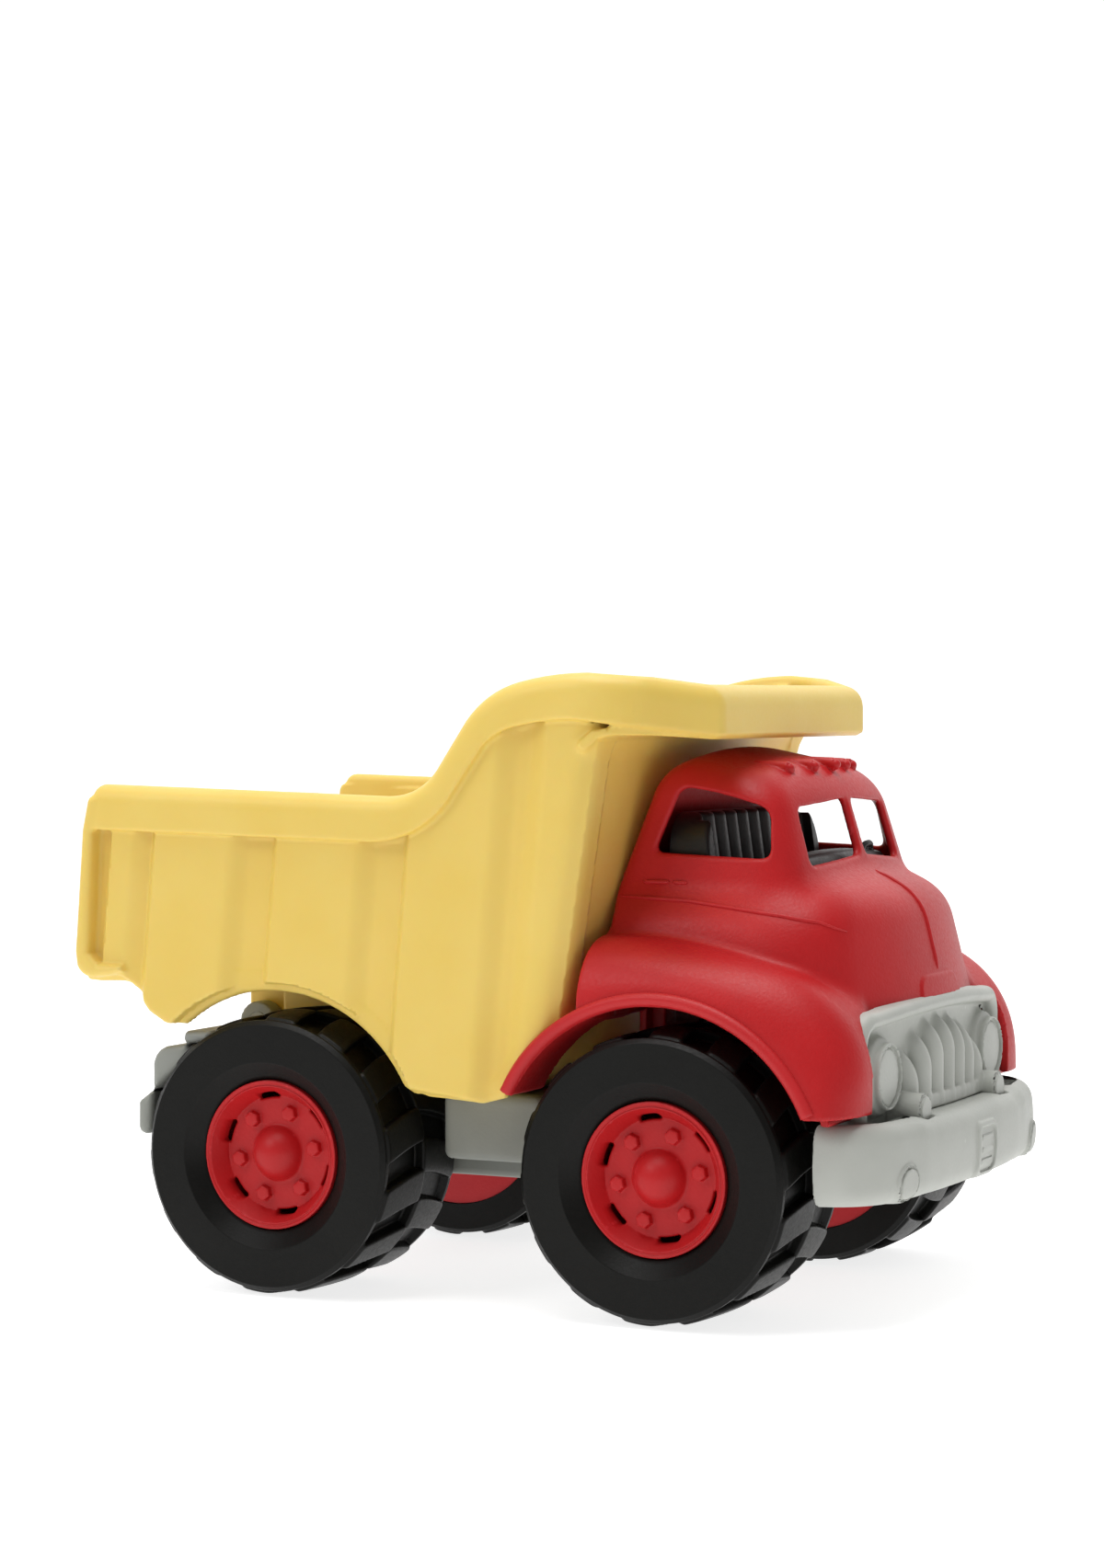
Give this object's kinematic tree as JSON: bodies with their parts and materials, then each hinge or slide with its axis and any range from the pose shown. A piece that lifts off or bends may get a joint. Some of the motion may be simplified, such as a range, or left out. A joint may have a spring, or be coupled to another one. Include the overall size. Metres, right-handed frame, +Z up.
{
  "type": "toy dump truck",
  "caption": "Chunky moulded-plastic toy dump truck with a tipping open-ended bed, rounded cab and free-rolling lugged wheels.",
  "frame": {"origin": "on the ground under the middle of the truck's length and width", "axes": "+X to the truck's front, +Y to its left side, +Z up"},
  "size_m": [0.2678, 0.1724, 0.1875],
  "materials": {
    "cab_red": "moulded plastic with a fine grained texture",
    "wheel_red": "moulded plastic with a fine grained texture",
    "bed_yellow": "satin moulded plastic",
    "trim_grey": "moulded plastic with a fine grained texture",
    "chassis_grey": "satin moulded plastic",
    "axle_grey": "smooth plastic rod",
    "tyre_black": "satin black moulded plastic",
    "interior_black": "satin black moulded plastic"
  },
  "bodies": {
    "truck": {"chassis_frame": "chassis_grey", "front_bumper": "trim_grey", "grille_panel": "trim_grey", "cab_shell": "cab_red", "interior_tray": "interior_black", "seat_bench": "interior_black", "hinge_pins": "chassis_grey"},
    "bed": {"dump_bed": "bed_yellow"},
    "front_wheels": {"front_axle": "axle_grey", "tyre_front_right": "tyre_black", "tyre_front_left": "tyre_black", "rim_front_right": "wheel_red", "rim_front_left": "wheel_red", "inner_hub_front_right": "wheel_red", "inner_hub_front_left": "wheel_red"},
    "rear_wheels": {"rear_axle": "axle_grey", "tyre_rear_right": "tyre_black", "tyre_rear_left": "tyre_black", "rim_rear_right": "wheel_red", "rim_rear_left": "wheel_red", "inner_hub_rear_right": "wheel_red", "inner_hub_rear_left": "wheel_red"}
  },
  "joints": [
    {"name": "bed_tip", "type": "hinge", "parent": "truck", "child": "bed", "pos_m": [-0.1, 0, 0.077], "axis": [0, -1, 0], "range_deg": [0, 45]},
    {"name": "front_wheels_roll", "type": "hinge", "parent": "truck", "child": "front_wheels", "pos_m": [0.0609, 0, 0.0425], "axis": [0, 1, 0], "continuous": true},
    {"name": "rear_wheels_roll", "type": "hinge", "parent": "truck", "child": "rear_wheels", "pos_m": [-0.0652, 0, 0.0425], "axis": [0, 1, 0], "continuous": true}
  ]
}
